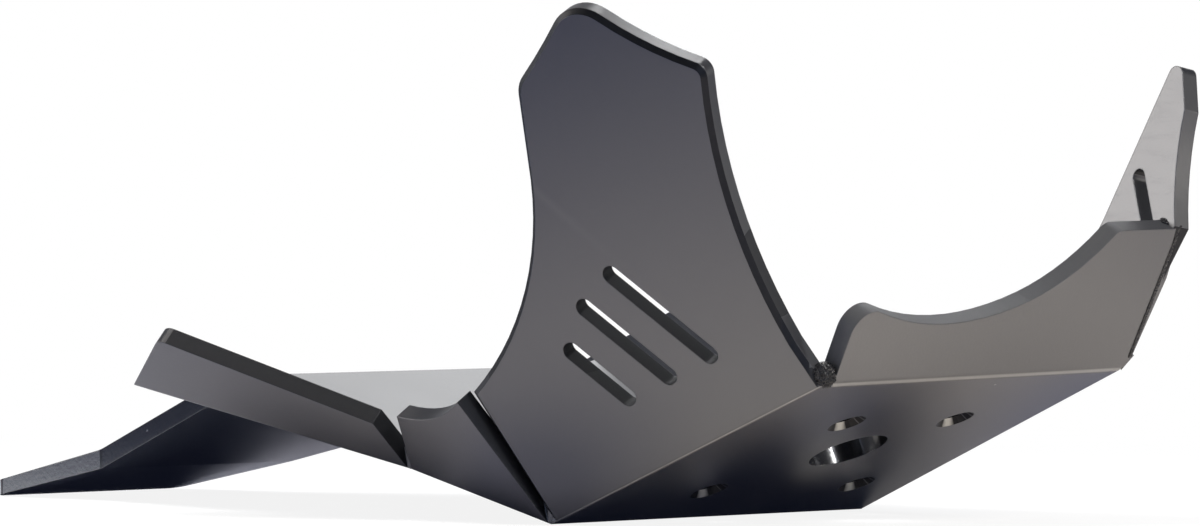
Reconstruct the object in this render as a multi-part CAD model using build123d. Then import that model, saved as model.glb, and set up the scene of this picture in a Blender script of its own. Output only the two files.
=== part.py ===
from build123d import *
import os
from math import asin, cos, degrees, radians, sin, tan

# A motorcycle skid plate: one thick sheet of tough plastic, folded while hot and welded at its front corners.
# A sloping front belly and a sloping rear belly meet in a ridge. Wings, flanges and a front plate stand up
# from the belly's edges, and a tail runs down again behind it. Millimetres and degrees.
# X points to the front of the motorcycle, Y to its left and Z up. The plate stands on its ridge and on the end
# of its tail. Panels are drawn on their outer (lower) faces, and the sheet's thickness lies inside of them.

square = 90.0

# The sheet
sheet = 8.0
edge_bevel = 2.0            # around the right wing's free edges
fold_radius = 2.0           # outside, where wings and flanges turn up
plate_fold_radius = 6.0     # outside, where the front plate turns up
ridge_radius = 3.0
relief = 1.5                # cut back beside the ridge, so that wings and flanges can turn up apart

# The front belly rises forward from the ridge, and its front fold is a little out of square
ridge_width = 190.0
front_slope = 23.0
front_length_right = 146.0
front_length_left = 154.0
front_half_right = 87.0
front_half_left = 88.5

# The rear belly rises backward from the ridge and grows wider
rear_slope = 15.5
waist_length = 76.0         # along the belly, from the ridge to the gap between the two flanges
waist_half = 99.0
hip_length = 197.0          # to the rear ends of the long flanges
hip_half = 140.0
hip_setback = 4.0           # of the belly's corner there, from the flange's foot

# The tail: two falling panels
tail_root_length = 179.0    # along the belly, from the ridge
tail_root_half = 104.0
tail_fall = 15.8
tail_fall_length = 126.0
tail_bend_half = 57.5
tail_end_length = 69.7
tail_end_half = 55.0
tail_end_sheet = 6.2        # the sheet is drawn thinner towards the tail's end
tail_corner_radius = 6.0
tail_bend_radius = 12.0

# The right wing, measured along its fold from the ridge, and up the panel
right_lean = 25.0
heel_height = 61.0
rear_bend_along = 80.0      # where the rear edge's curve runs out into a straight line
rear_bend_height = 124.0
shoulder_along = 99.0
shoulder_height = 159.3
apex_along = 142.7
apex_height = 180.7
nose_along = 178.8
nose_height = 130.1
front_bend_along = 145.5    # where the front edge's curve runs out into a straight line
front_bend_height = 20.0
rear_hollow = 9.6           # how far an edge curves in from a straight line
top_hollow = 1.0
brow_hollow = 3.2
front_hollow = 7.5
shoulder_radius = 12.0
apex_radius = 15.0
nose_radius = 6.0

# Its three slots start on one line and lean back side by side
slot_width = 7.6
slot_lengths = (57.0, 50.0, 36.0)
slot_pitch = 22.0
slot_first_along = 110.7
slot_foot_height = 27.6
slot_lean = 23.0

# The left wing reaches forward past the front plate's end
left_lean = 12.0
left_heel_height = 48.0
elbow_along = 155.0
elbow_height = 50.0
elbow_radius = 40.0
tip_along = 223.0
tip_height = 112.4
tip_radius = 4.0
cheek_back = 4.2            # behind the tip
cheek_height = 86.0
chin_back = 20.4            # behind the tip
chin_height = 41.6
toe_back = 2.9              # behind the fold's front end
cheek_hollow = 2.0
left_slot_width = 6.5
left_slot_length = 33.0
left_slot_back = 34.4       # behind the tip
left_slot_foot_height = 39.5

# The front plate, measured along its fold from the right end
plate_lean = 49.0
plate_gap = 6.5             # the open corner beside the right wing
plate_right_height = 36.5
plate_dip_along = 59.0
plate_dip_height = 24.9
plate_rise_along = 104.6    # where the top edge starts to curve up more
plate_rise_height = 33.5
plate_step_along = 143.3
plate_left_height = 63.2
plate_foot_overhang = 4.7   # past the fold's left end, over the left wing's front edge
plate_foot_cut = 6.5        # the overhang's lower corner
plate_side_overhang = 8.7   # where the wing's front edge comes out from behind the plate
plate_side_height = 41.0
plate_top_overhang = 6.5
plate_corner_radius = 10.0
plate_step_radius = 6.0
seam_groove = 1.2           # half the width, and the depth, of the groove beside the left wing

plate_left_end = (
    (plate_foot_overhang, plate_foot_cut),
    (plate_side_overhang, plate_side_height),
    (plate_top_overhang, plate_left_height),
)

# Short flanges beside the ridge, measured back from it
short_lean = 35.0
short_front_along = 36.0
short_front_height = 50.0
short_rear_height = 28.0
short_hollow = 4.5
flange_gap = 1.0            # at the fold, between the short and the long flange

# Long flanges beside the rear belly, measured back from the waist
long_lean = 41.0
long_front_along = 13.5
long_front_height = 22.5
long_rear_inset = 17.5
long_rear_height = 35.0
long_corner_radius = 5.0
left_long_rise = 5.0        # how much higher the left one stands

# Holes in the front belly: places are up the slope from the ridge, and to the left of the middle
drain_diameter = 33.0
drain_along = 72.0
drain_left = 8.5
bolt_diameter = 11.0
bolt_sink_diameter = 16.0
front_bolts_along = 103.5
front_bolts_left = 7.0
front_bolts_apart = 66.5
rear_bolts_along = 31.5
rear_bolts_left = 12.0
rear_bolts_apart = 90.5

# Weld beads in the front corners
weld_radius = 4.0
right_weld_height = 1.5
left_weld_drop = 3.4        # of its end, below the front plate's top edge
left_weld_sink = 3.0        # of its middle, into the walls that it joins

# Points of the belly's outer face
front_up = Vector(cos(radians(front_slope)), 0, sin(radians(front_slope)))
front_inside = Vector(-front_up.Z, 0, front_up.X)
rear_up = Vector(-cos(radians(rear_slope)), 0, sin(radians(rear_slope)))
rear_inside = Vector(rear_up.Z, 0, -rear_up.X)
left = Vector(0, 1, 0)

ridge_right = left * (-ridge_width / 2)
front_right = front_up * front_length_right - left * front_half_right
front_left = front_up * front_length_left + left * front_half_left
waist_right = rear_up * waist_length - left * waist_half
hip_right = rear_up * hip_length - left * hip_half

tail_root = rear_up * tail_root_length
tail_bend = tail_root + Vector(-cos(radians(tail_fall)), 0, -sin(radians(tail_fall))) * tail_fall_length
tail_end_fall = degrees(asin(tail_bend.Z / tail_end_length))
tail_end = tail_bend + Vector(-cos(radians(tail_end_fall)), 0, -sin(radians(tail_end_fall))) * tail_end_length


def mirrored(point):
    """The same point on the other side of the motorcycle."""
    return Vector(point.X, -point.Y, point.Z)


def panel_plane(start, end, belly_inside, lean):
    """Outer face of a panel that turns up from a fold: x along the fold, y up the panel, z outwards.
    Lean is the panel's angle, away from the belly, from square to it."""
    along = (end - start).normalized()
    outward = along.cross(belly_inside)
    panel_up = outward * sin(radians(lean)) + belly_inside * cos(radians(lean))
    return Plane(origin=start, x_dir=along, z_dir=along.cross(panel_up))


def panel(plane, outline):
    """The sheet inside of a panel's outer face, cut to an outline."""
    return extrude(plane * outline, -sheet)


def bevelled(plane, blank):
    """A panel whose outer edges are bevelled, apart from its fold."""
    outer_face = blank.faces().sort_by(Axis(plane.origin, plane.z_dir))[-1]
    free_edges = outer_face.edges().sort_by(Axis(plane.origin, plane.y_dir))[1:]
    return chamfer(free_edges, edge_bevel)


def nearest(outline, point):
    """The corner of an outline that lies at a point."""
    return outline.vertices().sort_by_distance(Vertex(*point))[0]


def rounded(outline, corners):
    """An outline with rounded corners, given as pairs of a corner and its radius."""
    for corner, radius in corners:
        outline = fillet(nearest(outline, corner), radius)
    return outline


def fold_shaving(start, end, belly_inside, lean, radius):
    """What the round of a fold takes off its sharp outer edge."""
    along = (end - start).normalized()
    across = Plane(origin=start, x_dir=along.cross(belly_inside), z_dir=-along)
    tangent_length = radius * tan(radians((square - lean) / 2))
    belly_point = (-tangent_length, 0)
    panel_point = (tangent_length * sin(radians(lean)), tangent_length * cos(radians(lean)))
    corner = (0, 0)
    section = make_face(Curve() + [
        Line(corner, belly_point),
        TangentArc(belly_point, panel_point, tangent=(1, 0)),
        Line(panel_point, corner),
    ])
    return extrude(across * section, -(end - start).length)


def flat_panel(plane, points):
    """A panel with straight edges, through points on its outer face."""
    return panel(plane, make_face(Polyline(*[plane.to_local_coords(point) for point in points], close=True)))


def belly():
    """Front and rear belly, which meet in the ridge and are as wide as the folds at their sides."""
    ridge_left = mirrored(ridge_right)
    front_plane = Plane(origin=(0, 0, 0), x_dir=front_up, z_dir=-front_inside)
    front = flat_panel(front_plane, [front_right, ridge_right, ridge_left, front_left])
    rear_plane = Plane(origin=(0, 0, 0), x_dir=rear_up, z_dir=-rear_inside)
    hip_corner = hip_right + (waist_right - hip_right).normalized() * hip_setback
    right_side = [ridge_right, waist_right, hip_corner, tail_root - left * tail_root_half]
    left_side = [mirrored(point) for point in reversed(right_side)]
    return front + flat_panel(rear_plane, right_side + left_side)


def tail():
    """The two falling panels, and the stretch of the rear belly that they are folded from.
    The sheet's side view is drawn with mitred folds, spread across the plate and cut to a plan."""
    start = rear_up * waist_length
    stations = [start, tail_root, tail_bend, tail_end]
    runs = [(end - begin).normalized() for begin, end in zip(stations, stations[1:])]
    insides = [Vector(run.Z, 0, -run.X) for run in runs]
    inner = [start + insides[0] * sheet]
    for point, before, after in zip(stations[1:], insides, insides[1:]):
        inner.append(point + (before + after) * (sheet / (1 + before.dot(after))))
    inner.append(tail_end + insides[-1] * tail_end_sheet)
    side_view = make_face(Polyline(*[(point.X, point.Z) for point in stations + inner[::-1]], close=True))
    halves = [waist_half, tail_root_half, tail_bend_half, tail_end_half]
    right_side = [station - left * half for station, half in zip(stations, halves)]
    left_side = [mirrored(point) for point in reversed(right_side)]
    plan = make_face(Polyline(*[(point.X, point.Y) for point in right_side + left_side], close=True))
    for corner, radius in zip(right_side[2:], (tail_bend_radius, tail_corner_radius)):
        plan = rounded(plan, [((corner.X, side * corner.Y), radius) for side in (-1, 1)])
    highest = tail_root.Z + sheet
    return extrude(Plane.XZ * side_view, waist_half + tail_root_half, both=True) & extrude(plan, 2 * highest)


def slot(along, foot_height, length, width, lean=0.0):
    """A slot whose lower end is at a place on a wing, leaning back from square to the fold."""
    middle_along = along - length / 2 * sin(radians(lean))
    middle_height = foot_height + length / 2 * cos(radians(lean))
    return Pos(middle_along, middle_height) * SlotOverall(length, width, rotation=square + lean)


def right_wing():
    plane = panel_plane(ridge_right, front_right, front_inside, right_lean)
    foot = (relief, 0)
    heel = (relief, heel_height)
    rear_bend = (rear_bend_along, rear_bend_height)
    shoulder = (shoulder_along, shoulder_height)
    apex = (apex_along, apex_height)
    nose = (nose_along, nose_height)
    front_bend = (front_bend_along, front_bend_height)
    front_foot = ((front_right - ridge_right).length, 0)
    outline = make_face(Curve() + [
        Line(foot, heel),
        SagittaArc(heel, rear_bend, -rear_hollow),
        Line(rear_bend, shoulder),
        SagittaArc(shoulder, apex, -top_hollow),
        SagittaArc(apex, nose, -brow_hollow),
        SagittaArc(nose, front_bend, -front_hollow),
        Line(front_bend, front_foot),
        Line(front_foot, foot),
    ])
    outline = rounded(outline, [(shoulder, shoulder_radius), (apex, apex_radius), (nose, nose_radius)])
    wing = bevelled(plane, panel(plane, outline))
    for number, length in enumerate(slot_lengths):
        cut = slot(slot_first_along - number * slot_pitch, slot_foot_height, length, slot_width, slot_lean)
        wing -= panel(plane, cut)
    return wing


def left_wing():
    """Drawn on the right like the other side panels, then mirrored."""
    front = mirrored(front_left)
    plane = panel_plane(ridge_right, front, front_inside, left_lean)
    foot = (relief, 0)
    heel = (relief, left_heel_height)
    elbow = (elbow_along, elbow_height)
    tip = (tip_along, tip_height)
    cheek = (tip_along - cheek_back, cheek_height)
    chin = (tip_along - chin_back, chin_height)
    toe = ((front - ridge_right).length - toe_back, 0)
    outline = make_face(Curve() + [
        Line(foot, heel),
        Line(heel, elbow),
        Line(elbow, tip),
        Line(tip, cheek),
        SagittaArc(cheek, chin, -cheek_hollow),
        Line(chin, toe),
        Line(toe, foot),
    ])
    outline = rounded(outline, [(elbow, elbow_radius), (tip, tip_radius)])
    wing = panel(plane, outline)
    cut = slot(tip_along - left_slot_back, left_slot_foot_height, left_slot_length, left_slot_width)
    wing -= panel(plane, cut)
    return mirror(wing, about=Plane.XZ)


def front_plate():
    plane = panel_plane(front_right, front_left, front_inside, plate_lean)
    fold_end = (front_left - front_right).length
    left_end = [(fold_end + past, height) for past, height in plate_left_end]
    right_corner = (plate_gap, plate_right_height)
    rise = (plate_rise_along, plate_rise_height)
    step = (plate_step_along, plate_left_height)
    low_edge = ThreePointArc(right_corner, (plate_dip_along, plate_dip_height), rise)
    outline = make_face(Curve() + [
        Line((plate_gap, 0), right_corner),
        low_edge,
        TangentArc(rise, step, tangent=low_edge % 1),
        Polyline(step, *reversed(left_end), (fold_end, 0)),
        Line((fold_end, 0), (plate_gap, 0)),
    ])
    outline = rounded(outline, [(right_corner, plate_corner_radius), (step, plate_step_radius)])
    return panel(plane, outline)


def seam():
    """What the groove along the front plate's left end, beside the left wing's front edge, takes away."""
    plate = panel_plane(front_right, front_left, front_inside, plate_lean)
    section = make_face(Polyline((-seam_groove, 0), (seam_groove, 0), (0, seam_groove), close=True))
    ends = [front_left + plate.x_dir * past + plate.y_dir * height for past, height in plate_left_end]
    groove = Part()
    for start, end in zip(ends, ends[1:]):
        across = Plane(origin=start, x_dir=plate.z_dir.cross(start - end), z_dir=end - start)
        groove += extrude(across * section, (end - start).length)
    return groove


def short_flange():
    """Right-hand flange between the ridge and the waist, with a hollow top edge."""
    plane = panel_plane(waist_right, ridge_right, rear_inside, short_lean)
    ridge_end = (ridge_right - waist_right).length
    front_top = (ridge_end - short_front_along, short_front_height)
    rear_top = (flange_gap, short_rear_height)
    outline = make_face(Curve() + [
        Line((flange_gap, 0), rear_top),
        SagittaArc(rear_top, front_top, -short_hollow),
        Line(front_top, (ridge_end - relief, 0)),
        Line((ridge_end - relief, 0), (flange_gap, 0)),
    ])
    return panel(plane, outline)


def long_flange(rise=0.0):
    """Right-hand flange between the waist and the hip. A rise carries its ends on along the same lines."""
    plane = panel_plane(hip_right, waist_right, rear_inside, long_lean)
    waist_end = (waist_right - hip_right).length
    rear_share = 1 + rise / long_rear_height
    front_share = 1 + rise / long_front_height
    rear_top = (long_rear_inset * rear_share, long_rear_height * rear_share)
    front_top = (waist_end - long_front_along * front_share, long_front_height * front_share)
    outline = make_face(Polyline((0, 0), rear_top, front_top, (waist_end - flange_gap, 0), close=True))
    outline = rounded(outline, [(rear_top, long_corner_radius)])
    return panel(plane, outline)


def fold_rounds():
    """What the rounds of all outer folds take off."""
    shavings = fold_shaving(front_right, front_left, front_inside, plate_lean, plate_fold_radius)
    shavings += fold_shaving(ridge_right, front_right, front_inside, right_lean, fold_radius)
    ridge_lean = square - front_slope - rear_slope
    shavings += fold_shaving(mirrored(ridge_right), ridge_right, front_inside, ridge_lean, ridge_radius)
    left_front = mirrored(front_left)
    left_folds = fold_shaving(ridge_right, left_front, front_inside, left_lean, fold_radius)
    rear_folds = fold_shaving(waist_right, ridge_right, rear_inside, short_lean, fold_radius)
    rear_folds += fold_shaving(hip_right, waist_right, rear_inside, long_lean, fold_radius)
    left_folds += rear_folds
    return shavings + rear_folds + mirror(left_folds, about=Plane.XZ)


def bead(start, end):
    """A round weld bead with a domed end."""
    run = end - start
    rod = extrude(Plane(origin=start, z_dir=run) * Circle(weld_radius), run.length)
    return rod + Pos(end) * Sphere(weld_radius)


def right_weld():
    """Fills the foot of the open corner between the right wing and the front plate."""
    wing = panel_plane(ridge_right, front_right, front_inside, right_lean)
    plate = panel_plane(front_right, front_left, front_inside, plate_lean)
    start = front_right + plate.x_dir * (plate_gap / 2) + front_inside * (sheet / 2)
    return bead(start, start + (wing.y_dir + plate.y_dir).normalized() * right_weld_height)


def left_weld():
    """Runs up the inner corner between the front plate and the left wing, to just below the plate's top edge."""
    plate = panel_plane(front_right, front_left, front_inside, plate_lean)
    wing = panel_plane(ridge_right, mirrored(front_left), front_inside, left_lean)
    wing_outward = mirrored(wing.z_dir)
    foot = front_left - (plate.z_dir + wing_outward) * (sheet - left_weld_sink)
    corner = plate.z_dir.cross(wing_outward).normalized()
    corner = corner if corner.Z > 0 else -corner
    rise = (plate_left_height - left_weld_drop) / corner.dot(plate.y_dir)
    return bead(foot, foot + corner * rise)


def belly_place(along, to_left):
    """Frame on the front belly's outer face, with z to the inside."""
    origin = front_up * along + left * to_left
    return Location(Plane(origin=origin, x_dir=front_up, z_dir=front_inside))


def belly_holes():
    """The drain hole and four bolt holes, sunk from below for flat-headed screws."""
    drain = extrude(Circle(drain_diameter / 2), sheet)
    holes = belly_place(drain_along, drain_left) * drain
    sink_depth = (bolt_sink_diameter - bolt_diameter) / 2
    bolt = extrude(Circle(bolt_diameter / 2), sheet)
    bolt += Pos(0, 0, sink_depth / 2) * Cone(bolt_sink_diameter / 2, bolt_diameter / 2, sink_depth)
    pairs = (
        (front_bolts_along, front_bolts_left, front_bolts_apart),
        (rear_bolts_along, rear_bolts_left, rear_bolts_apart),
    )
    for along, middle, apart in pairs:
        for side in (-1, 1):
            holes += belly_place(along, middle + side * apart / 2) * bolt
    return holes


skid_plate = belly() + tail() + right_wing() + left_wing() + front_plate()
skid_plate += short_flange() + long_flange()
skid_plate += mirror(short_flange() + long_flange(left_long_rise), about=Plane.XZ)
skid_plate -= fold_rounds()
skid_plate -= seam()
skid_plate += right_weld() + left_weld()
skid_plate -= belly_holes()

# The origin lies under the middle of the plate, on the surface that it stands on
box = skid_plate.bounding_box()
stand = Vector(box.center().X, box.center().Y, box.min.Z)
skid_plate = Pos(-stand) * skid_plate

os.makedirs("parts", exist_ok=True)
export_step(skid_plate, "parts/skid_plate.step")

print("box", box.size, "origin moved by", -stand)
print("volume", skid_plate.volume, "centre", skid_plate.center(CenterOf.MASS))
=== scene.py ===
from math import cos, pi, radians, sin

import bpy
import numpy as np
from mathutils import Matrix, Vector


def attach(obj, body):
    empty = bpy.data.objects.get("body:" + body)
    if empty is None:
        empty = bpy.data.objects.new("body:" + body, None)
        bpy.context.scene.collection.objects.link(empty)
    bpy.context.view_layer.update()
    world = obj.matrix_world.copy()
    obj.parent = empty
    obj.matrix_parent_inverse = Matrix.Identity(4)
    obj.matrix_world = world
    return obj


# A motorcycle skid plate of satin black sheet plastic, in a white studio.
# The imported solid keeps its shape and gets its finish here. Weld beads are laid over its front corners.
# Lengths are in metres, unless a line says otherwise.

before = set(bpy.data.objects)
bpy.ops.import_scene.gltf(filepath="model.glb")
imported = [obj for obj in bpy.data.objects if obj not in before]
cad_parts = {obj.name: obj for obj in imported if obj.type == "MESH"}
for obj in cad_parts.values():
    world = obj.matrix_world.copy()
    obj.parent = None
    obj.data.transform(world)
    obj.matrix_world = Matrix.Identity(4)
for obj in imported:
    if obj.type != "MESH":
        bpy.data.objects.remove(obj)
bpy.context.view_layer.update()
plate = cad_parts["skid_plate"]

# Camera: where the photograph was taken from
camera_azimuth = 42.3               # degrees
camera_elevation = 0.73
camera_distance = 3.2714
camera_aim = Vector((0.03788, -0.00115, 0.10225))
camera_lens = 239.88                # millimetres
sensor_width = 36.0
camera_reach = 50.0

# The sheet's panels: slopes, leans and the ends of the folds, as the solid has them.
# They are in millimetres and degrees.
front_slope = 23.0
rear_slope = 15.5
tail_fall = 15.8
tail_end_fall = 11.2
ridge_half = 95.0
front_right = (146.0, -87.0)        # along the belly from the ridge, and to the left of the middle
front_left = (154.0, 88.5)
waist = (76.0, 99.0)
hip = (197.0, 140.0)
right_lean = 25.0
left_lean = 12.0
plate_lean = 49.0
short_lean = 35.0
long_lean = 41.0
panel_spread = 2.5                  # how far a point's normal may be from its panel's
fold_spread = 1.5                   # and from the arc between two panels, on the round of a fold
front_panels = ("front_belly", "right_wing", "left_wing", "front_plate")
folds = {
    "front_belly": ("right_wing", "left_wing", "front_plate", "rear_belly"),
    "rear_belly": ("short_right", "short_left", "long_right", "long_left"),
}

# Where things are on the solid
ridge_place = (0.09567, 0.00146, 0.0)
sheet_thickness = 0.0082
flanges_reach = 0.13                # how far forward the rear half of the sheet goes
tail_start = -0.07                  # the tail's edge is behind this
slots_middle = (0.150, -0.107, 0.085)
slots_reach = 0.07
plate_edge_start = 0.21             # the front plate's edge is forward of this
plate_edge_right = -0.088
plate_edge_left = 0.088
sinks_right = -0.07                 # no sink lies further to the right

# Skin of the sheet: a pebble, scratches where a drawn-out noise passes its middle, and a mottle
pebble_scale = 900.0
pebble_detail = 2.0
scratch_scale = 60.0
scratch_stretch = (0.06, 1.0, 1.0)
scratch_detail = 6.0
scratch_raggedness = 0.75
scratch_middle = 0.5
scratch_half_width = 0.006
scratch_depth = 0.35
mottle_scale = 14.0
mottle_detail = 4.0

# Dust on the sheet. Its colour and specks also make the painted glints on the welds
dust_and_glint_colour = (0.45, 0.44, 0.42, 1.0)
speck_scale = 45.0
speck_size = 0.03
speck_share = 0.2

# Finish of the sheet
sheet_dark = (0.013, 0.015, 0.020, 1.0)
sheet_light = (0.019, 0.020, 0.024, 1.0)
sheet_roughness = (0.27, 0.34)
sheet_gloss = 1.0
sheet_ior = 1.62
sheet_bump = 0.12
sheet_bump_height = 0.0003
edge_round = 0.0007

# Finish of its sawn and milled edges. A dull edge mirrors less, by the share given. That dullness is
# partly a duller milled finish and partly painted shade on the bevel, the slots' walls, the sinks and the
# flanges' front ends.
cut_dark = (0.010, 0.011, 0.014, 1.0)
cut_light = (0.018, 0.018, 0.020, 1.0)
cut_roughness = (0.34, 0.46)
cut_pebble_scale = 520.0
bevel_dullness = 0.84               # of the milled bevel round the right wing
bevel_facing = (0.5, 0.87)          # what part of the wing's own direction the bevel faces
slot_dullness = 0.5                 # of the slots' walls in the right wing
sink_dullness = 0.75                # of the sinks round the screw holes
end_dullness = 0.62                 # of the flanges' front ends
end_side = (0.9, -0.1, 0.0)
end_facing = 0.5                    # how nearly an end faces that side, at least
smooth_roughness = 0.20             # of the tail's edge, and of the bores through the front belly
bore_facing = 0.05                  # how far a bore's wall may be from square to the belly, as a sine
matt_roughness = 0.6                # of the slots' walls, and of the front plate's edge

# Painted highlights: pale lines along the middles of the two front folds, and a painted gleam on one side
# of each sink
painted_highlight_colour = (0.56, 0.56, 0.53, 1.0)
highlit_folds = ("right_wing", "front_plate")
bend_highlight_share = 0.36                # how much of that colour the folds have
bend_spread = (4.0, 11.0)           # degrees from the fold's middle, between which it fades
gleam_side = (0.923, -0.386, 0.010)
gleam_facing = (0.865, 0.905)       # how nearly a sink faces it where the gleam starts and is full

# A faint painted reflection across the right wing: a lighter, rougher line that starts at its rear edge
# and fades out
streak_start = (0.12881, -0.14034, 0.13349)
streak_end = (0.15747, -0.12163, 0.10402)
streak_half_width = 0.003
streak_reflection_colour = (0.045, 0.045, 0.048, 1.0)
streak_roughness = 0.10

# Weld beads at the front corners, and a dark strip along the seam beside the left wing, which is painted
# shade: it stands for the shadow in the gap there
right_weld = ((0.22864, -0.08229, 0.06079), (0.22872, -0.08267, 0.06224))
left_weld = ((0.23234, 0.08523, 0.06324), (0.25887, 0.09165, 0.11712))
seam_shade_strip = ((0.24047, 0.09205, 0.06600), (0.26547, 0.09240, 0.11730))
weld_radius = 0.0045
seam_half_width = 0.0011
seam_height = 0.0003
weld_lumps = 0.16
seam_lumps = 0.06
lump_pitch = 0.0026
lump_waves = (                      # quickness along the bead, turns around it, and start
    (1.0, 3, 0.0),
    (1.7, -5, 1.0),
    (2.9, 8, 2.0),
)
weld_dark = (0.004, 0.004, 0.005, 1.0)
weld_light = (0.014, 0.014, 0.015, 1.0)
weld_roughness = (0.12, 0.40)
weld_gloss = 0.5
weld_ior = 1.45
weld_pebble_scale = 700.0
weld_bump = 0.9
weld_bump_height = 0.0014
# The bright grains in a weld are painted glints
glint_scale = 900.0                 # of the bright grains in a weld
glint_size = 0.3
weld_glint_share = 0.10

# Floor: what the camera sees
white = (1.0, 1.0, 1.0, 1.0)
black = (0.0, 0.0, 0.0, 1.0)
floor_half_size = 5.0
floor_drop = 0.0002
floor_middle = (0.0, 0.0, 0.0)
shadow_reach = (0.35, 0.9)          # the shadow fades out between these distances from the middle
shadow_share = 0.12                 # of the floor's own shade in what the camera sees

# Floor: its paper, as lamps and reflections see it, with light and shadows painted on it.
# A reach is how far from its middle a change starts, and how far from it the change ends.
# Painted light and shade on the paper: pale and warm near the plate, a second pale part beside the tail,
# dark blue further out
paper_painted_light = (0.96, 0.89, 0.81, 1.0)
paper_painted_dark = (0.10, 0.115, 0.20, 1.0)
paper_middle = (0.24, 0.08, 0.0)
paper_reach = (0.12, 0.56)
rear_painted_light = (0.88, 0.90, 0.95, 1.0)    # a second pale part, beside the tail
rear_middle = (-0.34, -0.13, 0.0)
rear_reach = (0.06, 0.26)
# Painted shadows on the paper
painted_paper_shadows = (                    # darker parts: middle, reach and share
    ((0.15, 0.205, 0.0), (0.045, 0.115), 0.85),
    ((0.075, -0.11, 0.0), (0.03, 0.09), 0.72),
    ((0.162, 0.028, 0.0), (0.015, 0.055), 0.90),
    ((0.126, -0.006, 0.0), (0.012, 0.04), 0.90),
    ((0.108, 0.046, 0.0), (0.010, 0.035), 0.60),
)
# A faint blue glow painted into the paper for reflections, and a painted pool of light by the drain hole
painted_blue_glow = (0.009, 0.011, 0.023, 1.0)    # how blue the paper's shadows are
painted_hole_light = (0.46, 0.44, 0.42, 1.0)        # light that falls on the paper through the drain hole
hole_light_middle = (0.137, 0.040, 0.0)
hole_light_reach = (0.005, 0.021)

# Room
ambient = (0.030, 0.048, 0.095, 1.0)
ceiling = (0.012, 0.015, 0.026, 1.0)
pale_wall = (0.44, 0.45, 0.47, 1.0)
blue_wall = (0.33, 0.43, 0.66, 1.0)
wall_top = (0.26, 0.46)             # height, as a sine, over which the walls turn into the ceiling
blue_side = (0.15, -0.99, 0.0)      # the side of the room with the blue wall
blue_side_reach = (-0.25, 0.2)      # how far towards it, as a cosine, the wall turns blue
warm_light = (1.0, 0.94, 0.87)
plain_light = (1.0, 1.0, 1.0)
card_distance = 2.2

# Columns and rows of the nodes, for whoever opens them
node_column = 220.0
node_row = 190.0


def put(tree, value, socket):
    """Links a socket to an input, or sets a plain value there."""
    if isinstance(value, bpy.types.NodeSocket):
        tree.links.new(value, socket)
    else:
        socket.default_value = value


def add_node(tree, kind, **inputs):
    """A shader node with its inputs set or linked by name."""
    node = tree.nodes.new(kind)
    for name, value in inputs.items():
        put(tree, value, node.inputs[name.replace("_", " ")])
    return node


def maths(tree, operation, *values):
    """A Math node on plain numbers and sockets."""
    node = tree.nodes.new("ShaderNodeMath")
    node.operation = operation
    for socket, value in zip(node.inputs, values):
        put(tree, value, socket)
    return node.outputs[0]


def size_of(tree, value):
    """A value without its sign."""
    return maths(tree, "ABSOLUTE", value)


def less(tree, value, limit):
    """1 where a value is below a limit, and 0 elsewhere."""
    return maths(tree, "LESS_THAN", value, limit)


def more(tree, value, limit):
    """1 where a value is above a limit, and 0 elsewhere."""
    return maths(tree, "GREATER_THAN", value, limit)


def product(tree, first, *others):
    """The product of values. For masks it is where all of them are."""
    for other in others:
        first = maths(tree, "MULTIPLY", first, other)
    return first


def largest(tree, first, *others):
    """The largest of values. For masks it is where any of them is."""
    for other in others:
        first = maths(tree, "MAXIMUM", first, other)
    return first


def vector_maths(tree, operation, first, second):
    """A number worked out from two vectors."""
    node = tree.nodes.new("ShaderNodeVectorMath")
    node.operation = operation
    put(tree, first, node.inputs[0])
    put(tree, second, node.inputs[1])
    return node.outputs["Value"]


def dot(tree, first, second):
    """How far two directions agree, as a cosine, or how far along a direction a place is."""
    return vector_maths(tree, "DOT_PRODUCT", first, second)


def distance(tree, first, second):
    """How far apart two places are."""
    return vector_maths(tree, "DISTANCE", first, second)


def ramp(tree, value, start, end, first=0.0, last=1.0):
    """A number that goes from the first to the last while a value goes from its start to its end."""
    node = add_node(tree, "ShaderNodeMapRange", Value=value, From_Min=start, From_Max=end,
                    To_Min=first, To_Max=last)
    return node.outputs[0]


def colour_mix(tree, share, first, second):
    """A blend of two colours."""
    node = tree.nodes.new("ShaderNodeMix")
    node.data_type = "RGBA"
    for socket, value in zip((node.inputs[0], node.inputs[6], node.inputs[7]), (share, first, second)):
        put(tree, value, socket)
    return node.outputs[2]


def number_mix(tree, share, first, second):
    """A blend of two numbers."""
    node = tree.nodes.new("ShaderNodeMix")
    for socket, value in zip((node.inputs[0], node.inputs[2], node.inputs[3]), (share, first, second)):
        put(tree, value, socket)
    return node.outputs[0]


def lay_out(tree):
    """Sets a tree's nodes in columns, each node to the left of all that it feeds."""
    column = {node.name: 0 for node in tree.nodes}
    moved = True
    while moved:
        moved = False
        for link in tree.links:
            least = column[link.to_node.name] + 1
            if column[link.from_node.name] < least:
                column[link.from_node.name] = least
                moved = True
    filled = dict.fromkeys(column.values(), 0)
    for node in tree.nodes:
        here = column[node.name]
        node.location = (-node_column * here, -node_row * filled[here])
        filled[here] += 1


def new_group(name, inputs, outputs):
    """An empty shader node group with named sockets. An input without a value is a vector."""
    group = bpy.data.node_groups.new(name, "ShaderNodeTree")
    for socket_name, default in inputs.items():
        kind = "NodeSocketVector" if default is None else "NodeSocketFloat"
        socket = group.interface.new_socket(socket_name, in_out="INPUT", socket_type=kind)
        if default is not None:
            socket.default_value = default
    for socket_name in outputs:
        group.interface.new_socket(socket_name, in_out="OUTPUT", socket_type="NodeSocketFloat")
    entry = group.nodes.new("NodeGroupInput")
    leave = group.nodes.new("NodeGroupOutput")
    return group, entry.outputs, leave.inputs


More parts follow.
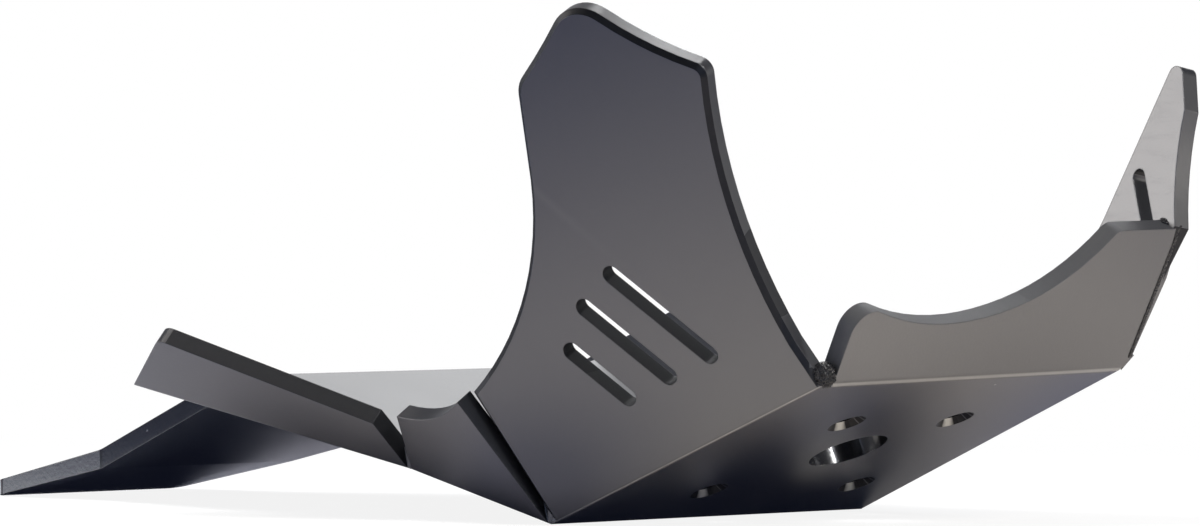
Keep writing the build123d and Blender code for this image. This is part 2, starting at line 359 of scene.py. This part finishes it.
def use_group(tree, group, **inputs):
    """A group placed in a material, with its own values. Its outputs."""
    node = tree.nodes.new("ShaderNodeGroup")
    node.node_tree = group
    for name, value in inputs.items():
        put(tree, value, node.inputs[name.replace("_", " ")])
    return node.outputs


def sheet_grain():
    """The fine skin of extruded plastic: a soft pebble, and faint scratches along the sheet."""
    group, entry, leave = new_group(
        "sheet_grain",
        {"Position": None, "Pebble Scale": pebble_scale, "Scratch Scale": scratch_scale,
         "Scratch Depth": scratch_depth},
        ("Height", "Mottle"),
    )
    position = entry["Position"]
    pebble = add_node(group, "ShaderNodeTexNoise", Vector=position, Scale=entry["Pebble Scale"],
                      Detail=pebble_detail)
    drawn_out = add_node(group, "ShaderNodeMapping", Vector=position, Scale=scratch_stretch)
    noise = add_node(group, "ShaderNodeTexNoise", Vector=drawn_out.outputs[0],
                     Scale=entry["Scratch Scale"], Detail=scratch_detail, Roughness=scratch_raggedness)
    off_middle = size_of(group, maths(group, "SUBTRACT", noise.outputs["Fac"], scratch_middle))
    scratch = product(group, less(group, off_middle, scratch_half_width), entry["Scratch Depth"])
    mottle = add_node(group, "ShaderNodeTexNoise", Vector=position, Scale=mottle_scale,
                      Detail=mottle_detail)
    put(group, maths(group, "SUBTRACT", pebble.outputs["Fac"], scratch), leave["Height"])
    put(group, mottle.outputs["Fac"], leave["Mottle"])
    lay_out(group)
    return group


def dust_and_glint_specks():
    """Scattered bright specks: the hearts of a few Voronoi cells. They are dust on the sheet, and painted
    glints on the welds.
    """
    group, entry, leave = new_group(
        "dust_and_glint_specks",
        {"Position": None, "Scale": speck_scale, "Size": speck_size, "Share": speck_share},
        ("Mask",),
    )
    cells = add_node(group, "ShaderNodeTexVoronoi", Vector=entry["Position"], Scale=entry["Scale"])
    heart = less(group, cells.outputs["Distance"], entry["Size"])
    pick = add_node(group, "ShaderNodeSeparateColor", Color=cells.outputs["Color"])
    chosen = less(group, pick.outputs[0], entry["Share"])
    put(group, product(group, heart, chosen), leave["Mask"])
    lay_out(group)
    return group


def unit(vector):
    """A vector made one long."""
    return vector / np.linalg.norm(vector)


def panel_normals():
    """Outward normals of the sheet's panels by name. A panel that turns up from a fold, which runs
    from one point to another along a belly, leans away from square to that belly: its normal is the
    fold's cross product with that lean."""
    front_up = np.array([cos(radians(front_slope)), 0, sin(radians(front_slope))])
    rear_up = np.array([-cos(radians(rear_slope)), 0, sin(radians(rear_slope))])
    front_inside = np.array([-front_up[2], 0, front_up[0]])
    rear_inside = np.array([rear_up[2], 0, -rear_up[0]])
    left = np.array([0, 1.0, 0])
    other_side = np.array([1.0, -1.0, 1.0])
    ridge_right = -ridge_half * left
    front_right_corner = front_up * front_right[0] + left * front_right[1]
    front_left_corner = front_up * front_left[0] + left * front_left[1]
    front_left_mirrored = front_left_corner * other_side
    waist_right = rear_up * waist[0] - left * waist[1]
    hip_right = rear_up * hip[0] - left * hip[1]

    def falling(fall):
        return np.array([sin(radians(fall)), 0, -cos(radians(fall))])

    def leaning(start, end, inside, lean):
        along = unit(end - start)
        rise = np.cross(along, inside) * sin(radians(lean)) + inside * cos(radians(lean))
        return np.cross(along, rise)

    found = {
        "front_belly": -front_inside,
        "rear_belly": -rear_inside,
        "tail_fall": falling(tail_fall),
        "tail_end": falling(tail_end_fall),
        "right_wing": leaning(ridge_right, front_right_corner, front_inside, right_lean),
        "left_wing": leaning(ridge_right, front_left_mirrored, front_inside, left_lean) * other_side,
        "front_plate": leaning(front_right_corner, front_left_corner, front_inside, plate_lean),
        "short_right": leaning(waist_right, ridge_right, rear_inside, short_lean),
        "long_right": leaning(hip_right, waist_right, rear_inside, long_lean),
    }
    found["short_left"] = found["short_right"] * other_side
    found["long_left"] = found["long_right"] * other_side
    return found


panels = panel_normals()


def panel_masks(group, normal, behind):
    """Where each panel's two faces are, which have its normal or the opposite one.
    The rear panels lie only behind their furthest reach."""
    masks = []
    for name, panel in panels.items():
        facing = size_of(group, dot(group, normal, panel))
        on_panel = more(group, facing, cos(radians(panel_spread)))
        masks.append(on_panel if name in front_panels else product(group, on_panel, behind))
    return masks


def fold_masks(group, normal):
    """Where the rounds of the folds are, whose normals lie on the arc between those of two panels.
    With them come the middles of the folds that have a painted highlight line."""
    faded = cos(radians(bend_spread[1]))
    full = cos(radians(bend_spread[0]))
    rounds = []
    middles = []
    for belly, neighbours in folds.items():
        for neighbour in neighbours:
            axis = unit(np.cross(panels[belly], panels[neighbour]))
            middle = unit(panels[belly] + panels[neighbour])
            off_arc = size_of(group, dot(group, normal, axis))
            on_arc = less(group, off_arc, sin(radians(fold_spread)))
            turned = dot(group, normal, middle)
            between = more(group, turned, float(middle.dot(panels[belly])))
            rounds.append(product(group, on_arc, between))
            if neighbour in highlit_folds:
                middles.append(product(group, ramp(group, turned, faded, full), on_arc))
    return rounds, middles


def cut_edges():
    """Where the sheet was sawn or milled: neither on a panel's two faces nor on the round of a fold.
    Some cuts are told apart: those that mirror less, the bores and the tail's edge, which are smooth,
    and the right wing's slots and the front plate's edge, which are matt. So are the painted highlights."""
    group, entry, leave = new_group(
        "cut_edges",
        {"Normal": None, "Position": None},
        ("Mask", "Dull", "Smooth", "Matt", "Painted Highlight"),
    )
    normal = entry["Normal"]
    position = entry["Position"]
    place = add_node(group, "ShaderNodeSeparateXYZ", Vector=position).outputs
    forward = place["X"]
    leftward = place["Y"]
    behind = less(group, forward, flanges_reach)
    rounds, middles = fold_masks(group, normal)
    sheet = largest(group, *panel_masks(group, normal, behind), *rounds)
    cut = maths(group, "SUBTRACT", 1.0, sheet)

    # Holes through the front belly: a bore's wall is square to it, and the rest of a hole is its sink
    belly = panels["front_belly"]
    depth = maths(group, "SUBTRACT", float(belly.dot(ridge_place)), dot(group, position, belly))
    in_hole = product(group, cut, less(group, size_of(group, depth), sheet_thickness))
    belly_facing = size_of(group, dot(group, normal, belly))
    bore = product(group, in_hole, less(group, belly_facing, bore_facing))
    sink = maths(group, "SUBTRACT", in_hole, bore)

    # Other cuts
    tail_edge = product(group, cut, less(group, forward, tail_start))
    slot = product(group, cut, less(group, distance(group, position, slots_middle), slots_reach))
    plate_edge = product(
        group,
        cut,
        more(group, forward, plate_edge_start),
        more(group, leftward, plate_edge_right),
        less(group, leftward, plate_edge_left),
    )
    wing_facing = size_of(group, dot(group, normal, panels["right_wing"]))
    bevel = product(
        group,
        maths(group, "SUBTRACT", cut, plate_edge),
        more(group, wing_facing, bevel_facing[0]),
        less(group, wing_facing, bevel_facing[1]),
    )
    flange_end = product(group, cut, behind, more(group, dot(group, normal, end_side), end_facing))

    # Painted highlights
    bend = product(group, largest(group, *middles), bend_highlight_share)
    lit_side = ramp(group, dot(group, normal, gleam_side), *gleam_facing)
    gleam = product(group, sink, more(group, leftward, sinks_right), lit_side)

    dull = largest(
        group,
        product(group, bevel, bevel_dullness),
        product(group, slot, slot_dullness),
        product(group, sink, sink_dullness),
        product(group, flange_end, end_dullness),
    )
    put(group, cut, leave["Mask"])
    put(group, dull, leave["Dull"])
    put(group, largest(group, bore, tail_edge), leave["Smooth"])
    put(group, largest(group, slot, plate_edge), leave["Matt"])
    put(group, largest(group, bend, gleam), leave["Painted Highlight"])
    lay_out(group)
    return group


grain_group = sheet_grain()
dust_and_glint_group = dust_and_glint_specks()
edges_group = cut_edges()


def new_material(name, gloss, ior):
    """A material, its node tree, its shader's inputs and its Texture Coordinate node's outputs."""
    material = bpy.data.materials.new(name)
    material.use_nodes = True
    tree = material.node_tree
    shader = tree.nodes["Principled BSDF"].inputs
    shader["Specular IOR Level"].default_value = gloss
    shader["IOR"].default_value = ior
    return material, tree, shader, add_node(tree, "ShaderNodeTexCoord").outputs


def streak_mask(tree, position, normal):
    """A soft line on the right wing's outer face, that fades out from the streak's start to its end."""
    start = np.array(streak_start)
    end = np.array(streak_end)
    wing = panels["right_wing"]
    along = unit(end - start)
    across = np.cross(wing, along)
    aside = maths(tree, "SUBTRACT", dot(tree, position, across), float(across.dot(start)))
    near = ramp(tree, size_of(tree, aside), 0.0, streak_half_width, 1.0, 0.0)
    passed = dot(tree, position, along)
    left_over = ramp(tree, passed, float(along.dot(start)), float(along.dot(end)), 1.0, 0.0)
    facing = more(tree, dot(tree, normal, wing), cos(radians(panel_spread)))
    return product(tree, near, left_over, facing)


def satin_sheet():
    """Black sheet plastic as it comes off the roll, with duller sawn edges that are softly rounded. Part
    of that dullness is painted shade.
    """
    material, tree, shader, place = new_material("satin_sheet", sheet_gloss, sheet_ior)
    position = place["Object"]
    normal = place["Normal"]
    streak = streak_mask(tree, position, normal)
    grain = use_group(tree, grain_group, Position=position)
    sawn = use_group(tree, grain_group, Position=position, Pebble_Scale=cut_pebble_scale,
                     Scratch_Depth=0.0)
    specks = use_group(tree, dust_and_glint_group, Position=position)
    edges = use_group(tree, edges_group, Normal=normal, Position=position)
    cut = edges["Mask"]

    # Colour
    sheet_tone = colour_mix(tree, grain["Mottle"], sheet_dark, sheet_light)
    cut_tone = colour_mix(tree, sawn["Height"], cut_dark, cut_light)
    tone = colour_mix(tree, cut, sheet_tone, cut_tone)
    # Painted highlights: pale lines on the two front folds, and a gleam in each sink
    highlighted = colour_mix(tree, edges["Painted Highlight"], tone, painted_highlight_colour)
    # The streak is a painted reflection, and it is rougher as well
    streaked = colour_mix(tree, streak, highlighted, streak_reflection_colour)
    put(tree, colour_mix(tree, specks["Mask"], streaked, dust_and_glint_colour), shader["Base Color"])

    # Roughness
    sheet_rough = ramp(tree, grain["Mottle"], 0.0, 1.0, *sheet_roughness)
    streak_rough = maths(tree, "MULTIPLY_ADD", streak, streak_roughness, sheet_rough)
    cut_rough = ramp(tree, sawn["Height"], 0.0, 1.0, *cut_roughness)
    worked = number_mix(tree, cut, streak_rough, cut_rough)
    smoothed = number_mix(tree, edges["Smooth"], worked, smooth_roughness)
    put(tree, number_mix(tree, edges["Matt"], smoothed, matt_roughness), shader["Roughness"])

    # Dull cuts, partly painted shade: over a near-black colour, more Metallic means that less is mirrored
    put(tree, edges["Dull"], shader["Metallic"])

    # Soft edges and fine relief
    soft_edge = add_node(tree, "ShaderNodeBevel", Radius=edge_round)
    height = number_mix(tree, cut, grain["Height"], sawn["Height"])
    bump = add_node(tree, "ShaderNodeBump", Strength=sheet_bump, Distance=sheet_bump_height,
                    Height=height, Normal=soft_edge.outputs[0])
    put(tree, bump.outputs[0], shader["Normal"])
    lay_out(tree)
    return material


def weld_skin(name, glint_share):
    """Plastic that ran and set: black and lumpy, with a share of bright grains that are painted glints.
    """
    material, tree, shader, place = new_material(name, weld_gloss, weld_ior)
    position = place["Object"]
    height = use_group(tree, grain_group, Position=position, Pebble_Scale=weld_pebble_scale,
                       Scratch_Depth=0.0)["Height"]
    glints = use_group(tree, dust_and_glint_group, Position=position, Scale=glint_scale, Size=glint_size,
                       Share=glint_share)
    tone = colour_mix(tree, height, weld_dark, weld_light)
    put(tree, colour_mix(tree, glints["Mask"], tone, dust_and_glint_colour), shader["Base Color"])
    put(tree, ramp(tree, height, 0.0, 1.0, *weld_roughness), shader["Roughness"])
    bump = add_node(tree, "ShaderNodeBump", Strength=weld_bump, Distance=weld_bump_height,
                    Height=height)
    put(tree, bump.outputs[0], shader["Normal"])
    lay_out(tree)
    return material


def closed_faces(rows, around):
    """Faces of a closed skin: quads between rings of points, and a fan at each end from its pole.
    The two poles come after the rings."""
    ring = np.arange(around)
    after = (ring + 1) % around
    row = around * np.arange(rows - 1)[:, None]
    quads = np.stack([row + ring, row + after, row + around + after, row + around + ring], axis=-1)
    last = around * (rows - 1)
    pole = around * rows
    first_fan = np.stack([np.full(around, pole), after, ring], axis=-1)
    last_fan = np.stack([np.full(around, pole + 1), last + ring, last + after], axis=-1)
    return quads.reshape(-1, 4).tolist() + first_fan.tolist() + last_fan.tolist()


def weld_bead(name, ends, half_width, half_height, raised, lumps, rows, around, material):
    """A lumpy bead along a straight line. At a distance along it and an angle around it, the radius is
    that of an oval rod with half balls past its ends, and it swells and shrinks by sines of both."""
    start = np.array(ends[0])
    line = np.array(ends[1]) - start
    length = np.linalg.norm(line)
    along = line / length
    side = unit(np.cross(raised, along))
    top = np.cross(along, side)
    turn = np.linspace(0.0, pi, rows + 2)[1:-1]
    reached = (length / 2 - (length / 2 + half_width) * np.cos(turn))[:, None]
    angle = (2 * pi * np.arange(around) / around)[None, :]
    beyond = reached - np.clip(reached, 0.0, length)
    rod = np.sqrt(np.maximum(1.0 - (beyond / half_width) ** 2, 0.0))
    pitch = 2 * pi / lump_pitch
    waves = [np.sin(quickness * pitch * reached + turns * angle + begin)
             for quickness, turns, begin in lump_waves]
    share = rod * (1.0 + lumps * sum(waves) / len(waves))
    skin = (start + along * reached[..., None]
            + side * (half_width * share * np.cos(angle))[..., None]
            + top * (half_height * share * np.sin(angle))[..., None])
    poles = np.array([start - along * half_width, start + line + along * half_width])
    points = np.concatenate([skin.reshape(-1, 3), poles])
    mesh = bpy.data.meshes.new(name)
    mesh.from_pydata(points.tolist(), [], closed_faces(rows, around))
    mesh.polygons.foreach_set("use_smooth", np.ones(len(mesh.polygons), dtype=bool))
    mesh.materials.append(material)
    bead = bpy.data.objects.new(name, mesh)
    bpy.context.scene.collection.objects.link(bead)
    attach(bead, "root")


plate.data.materials.clear()
plate.data.materials.append(satin_sheet())
weld = weld_skin("weld_skin", weld_glint_share)
seam_shade_skin = weld_skin("seam_shade_skin", 0.0)
plate_face = panels["front_plate"]
weld_bead("right_weld", right_weld, weld_radius, weld_radius, plate_face, weld_lumps,
          rows=40, around=48, material=weld)
weld_bead("left_weld", left_weld, weld_radius, weld_radius, plate_face, weld_lumps,
          rows=240, around=48, material=weld)
# A dark strip on the seam beside the left wing: painted shade, for the shadow in the gap there
weld_bead("seam_shade_strip", seam_shade_strip, seam_half_width, seam_height, plate_face, seam_lumps,
          rows=200, around=16, material=seam_shade_skin)


def set_camera():
    """The camera, that looks at its aim from the photograph's side."""
    azimuth = radians(camera_azimuth)
    elevation = radians(camera_elevation)
    forward = Vector((-sin(azimuth) * cos(elevation), cos(azimuth) * cos(elevation), -sin(elevation)))
    data = bpy.data.cameras.new("camera")
    data.lens = camera_lens
    data.sensor_width = sensor_width
    data.sensor_fit = "HORIZONTAL"
    data.clip_end = camera_reach
    camera = bpy.data.objects.new("camera", data)
    camera.location = camera_aim - forward * camera_distance
    camera.rotation_euler = forward.to_track_quat("-Z", "Y").to_euler()
    bpy.context.scene.collection.objects.link(camera)
    bpy.context.scene.camera = camera


def softbox(name, direction, away, size, power, lights, colour=plain_light, aim=camera_aim):
    """A square lamp that faces the middle of the plate, or another place, from a direction.
    It lights only what is matt, as a wide ceiling does, or shows only as a reflection."""
    data = bpy.data.lights.new(name, "AREA")
    data.shape = "SQUARE"
    data.size = size
    data.energy = power
    data.color = colour
    lamp = bpy.data.objects.new(name, data)
    toward = Vector(direction).normalized()
    lamp.location = Vector(aim) + toward * away
    lamp.rotation_euler = (-toward).to_track_quat("-Z", "Y").to_euler()
    lamp.visible_diffuse = lights == "matt"
    lamp.visible_glossy = lights == "gloss"
    bpy.context.scene.collection.objects.link(lamp)


def card(name, direction, size, power, colour=plain_light):
    """A softbox that shows only as a reflection."""
    softbox(name, direction, card_distance, size, power, "gloss", colour)


def floor_paper():
    """Pale paper. The camera sees it as white, with a share of the plate's shadow. Lamps and
    reflections see the light and shadows painted on it: paler and darker parts, a painted blue glow
    in its shadows and a painted pool of light by the drain hole."""
    material = bpy.data.materials.new("white_floor")
    material.use_nodes = True
    tree = material.node_tree
    tree.nodes.clear()
    position = add_node(tree, "ShaderNodeTexCoord").outputs["Object"]
    for_camera = add_node(tree, "ShaderNodeLightPath").outputs["Is Camera Ray"]

    def away_from(middle, reach, first=0.0, last=1.0):
        return ramp(tree, distance(tree, position, middle), *reach, first, last)

    cool = colour_mix(tree, away_from(rear_middle, rear_reach), rear_painted_light, paper_painted_dark)
    paper = colour_mix(tree, away_from(paper_middle, paper_reach), paper_painted_light, cool)
    for middle, reach, most in painted_paper_shadows:
        paper = colour_mix(tree, away_from(middle, reach, most, 0.0), paper, paper_painted_dark)
    paper_seen = colour_mix(tree, for_camera, paper, white)
    matt = add_node(tree, "ShaderNodeBsdfDiffuse", Color=paper_seen)
    shadow = colour_mix(tree, away_from(hole_light_middle, hole_light_reach), painted_hole_light, painted_blue_glow)
    shadow_seen = colour_mix(tree, for_camera, shadow, black)
    glow = add_node(tree, "ShaderNodeEmission", Color=shadow_seen, Strength=1.0)
    lit_paper = tree.nodes.new("ShaderNodeAddShader")
    put(tree, matt.outputs[0], lit_paper.inputs[0])
    put(tree, glow.outputs[0], lit_paper.inputs[1])
    unshaded = maths(tree, "SUBTRACT", 1.0, away_from(floor_middle, shadow_reach, shadow_share, 0.0))
    bright = add_node(tree, "ShaderNodeEmission", Color=white, Strength=1.0)
    seen = add_node(tree, "ShaderNodeMixShader", Fac=product(tree, for_camera, unshaded))
    put(tree, lit_paper.outputs[0], seen.inputs[1])
    put(tree, bright.outputs[0], seen.inputs[2])
    add_node(tree, "ShaderNodeOutputMaterial", Surface=seen.outputs[0])
    lay_out(tree)
    return material


def white_floor():
    """A wide square of paper, just under the plate."""
    mesh = bpy.data.meshes.new("floor")
    side = floor_half_size
    corners = [(-side, -side, -floor_drop), (side, -side, -floor_drop), (side, side, -floor_drop),
               (-side, side, -floor_drop)]
    mesh.from_pydata(corners, [], [(0, 1, 2, 3)])
    mesh.materials.append(floor_paper())
    floor = bpy.data.objects.new("floor", mesh)
    bpy.context.scene.collection.objects.link(floor)


def studio_world():
    """White backdrop all round for the camera. Reflections see pale walls, blue on one side, below a
    dark ceiling, and matt surfaces get an even, cool light."""
    world = bpy.data.worlds.new("studio")
    bpy.context.scene.world = world
    world.use_nodes = True
    tree = world.node_tree
    tree.nodes.clear()
    direction = add_node(tree, "ShaderNodeTexCoord").outputs["Generated"]
    height = add_node(tree, "ShaderNodeSeparateXYZ", Vector=direction).outputs["Z"]
    path = add_node(tree, "ShaderNodeLightPath").outputs
    turned = ramp(tree, dot(tree, direction, blue_side), *blue_side_reach)
    walls = colour_mix(tree, turned, pale_wall, blue_wall)
    room = colour_mix(tree, ramp(tree, height, *wall_top), walls, ceiling)
    mirrored = largest(tree, path["Is Glossy Ray"], path["Is Transmission Ray"])
    unseen = colour_mix(tree, mirrored, ambient, room)
    shown = colour_mix(tree, path["Is Camera Ray"], unseen, white)
    background = add_node(tree, "ShaderNodeBackground", Color=shown, Strength=1.0)
    add_node(tree, "ShaderNodeOutputWorld", Surface=background.outputs[0])
    lay_out(tree)


set_camera()
studio_world()
white_floor()
softbox("ceiling", (0.0, 0.0, 1.0), away=2.2, size=3.0, power=46.0, lights="matt")
softbox("side_floor", (0.0, -0.15, 0.99), away=0.8, size=0.3, power=5.5, lights="matt",
        aim=(0.02, -0.20, 0.0))
softbox("front_floor", (0.82, -0.20, 0.54), away=1.8, size=0.6, power=22.0, lights="matt",
        colour=warm_light)
softbox("rear_floor", (-0.20, -0.20, 0.96), away=0.8, size=0.3, power=3.5, lights="matt",
        aim=(-0.37, -0.14, 0.0))
card("card_left", (-0.75, -0.58, 0.32), size=1.2, power=20.0, colour=warm_light)
card("card_far", (0.80, 0.59, 0.05), size=0.7, power=4.5, colour=warm_light)
card("card_back", (-0.545, 0.748, 0.379), size=1.0, power=4.9)
card("card_rim", (-0.37, 0.72, 0.58), size=0.5, power=0.7)
card("card_top", (-0.20, 0.57, 0.80), size=0.4, power=9.5)
card("card_over", (-0.31, -0.36, 0.88), size=1.5, power=8.5, colour=warm_light)
card("card_front", (0.78, -0.09, 0.61), size=0.3, power=24.0)

bpy.context.scene.view_settings.view_transform = "Standard"
